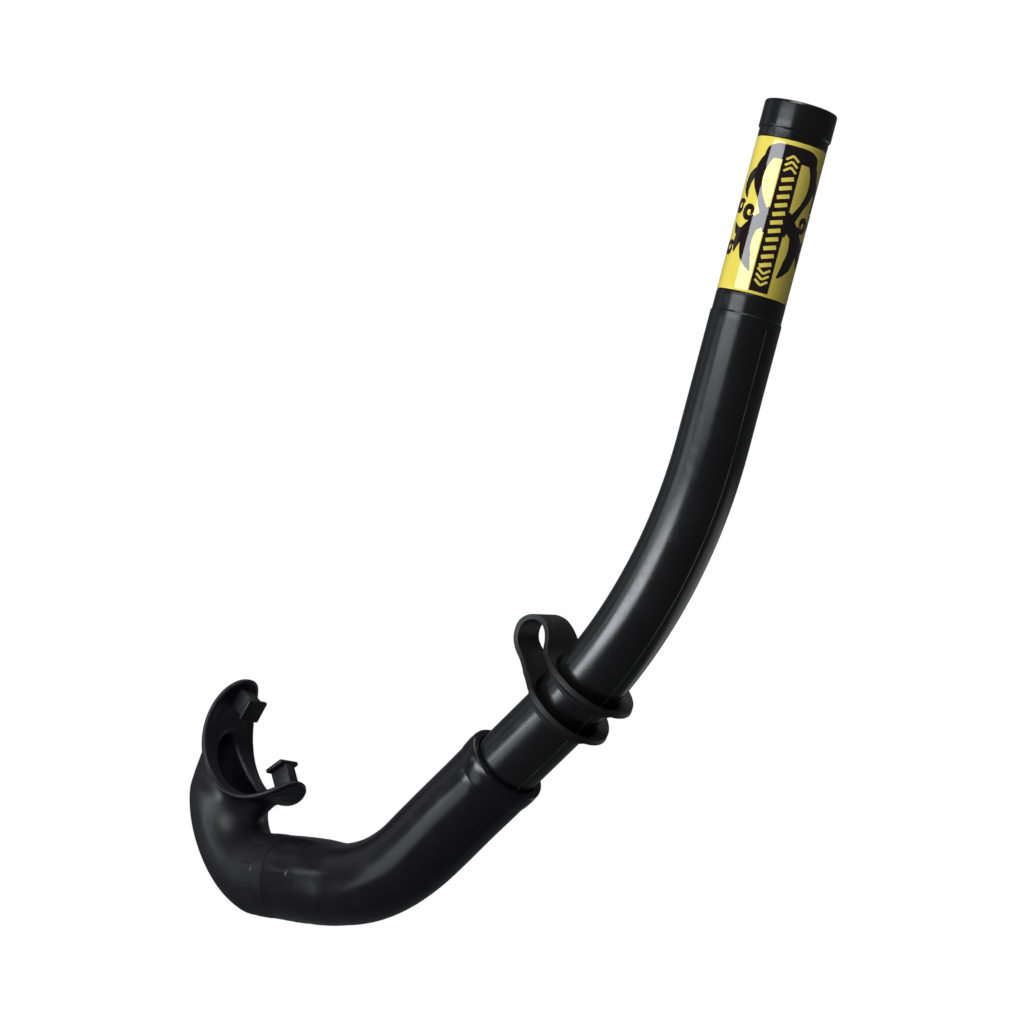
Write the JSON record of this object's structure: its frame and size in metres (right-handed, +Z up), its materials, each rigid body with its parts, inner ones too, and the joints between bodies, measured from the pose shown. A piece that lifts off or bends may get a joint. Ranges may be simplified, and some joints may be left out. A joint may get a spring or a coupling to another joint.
{
  "type": "snorkel tube",
  "caption": "J-shaped breathing tube with a rigid curved barrel, a soft elbow, a swivelling bite mouthpiece and a folded strap keeper.",
  "frame": {"origin": "centre of the mouth opening, on the concave face of the mouthpiece's lip shield", "axes": "+Z up along the barrel's straight top, +X from the mouthpiece towards the barrel, +Y across the J"},
  "size_m": [0.1983, 0.0316, 0.2909],
  "materials": {
    "barrel": "glossy",
    "label": "satin metallic film, printed",
    "elbow": "satin",
    "connector": "satin",
    "mouthpiece": "satin",
    "keeper": "matte"
  },
  "bodies": {
    "barrel_body": {"barrel": "barrel", "label": "label"},
    "elbow_body": {"elbow": "elbow", "connector": "connector"},
    "mouth_body": {"mouthpiece": "mouthpiece"},
    "keeper_body": {"keeper": "keeper"}
  },
  "joints": [
    {"name": "elbow_turn", "type": "hinge", "parent": "barrel_body", "child": "elbow_body", "pos_m": [0.12225, 0, 0.03415], "axis": [0.6212, 0, 0.7837], "continuous": true},
    {"name": "mouthpiece_swivel", "type": "hinge", "parent": "elbow_body", "child": "mouth_body", "pos_m": [0.03994, 0, -0.02504], "axis": [-0.9848, 0, -0.1736], "continuous": true},
    {"name": "keeper_turn", "type": "hinge", "parent": "barrel_body", "child": "keeper_body", "pos_m": [0.14366, 0, 0.06144], "axis": [0.5823, 0, 0.813], "continuous": true}
  ]
}
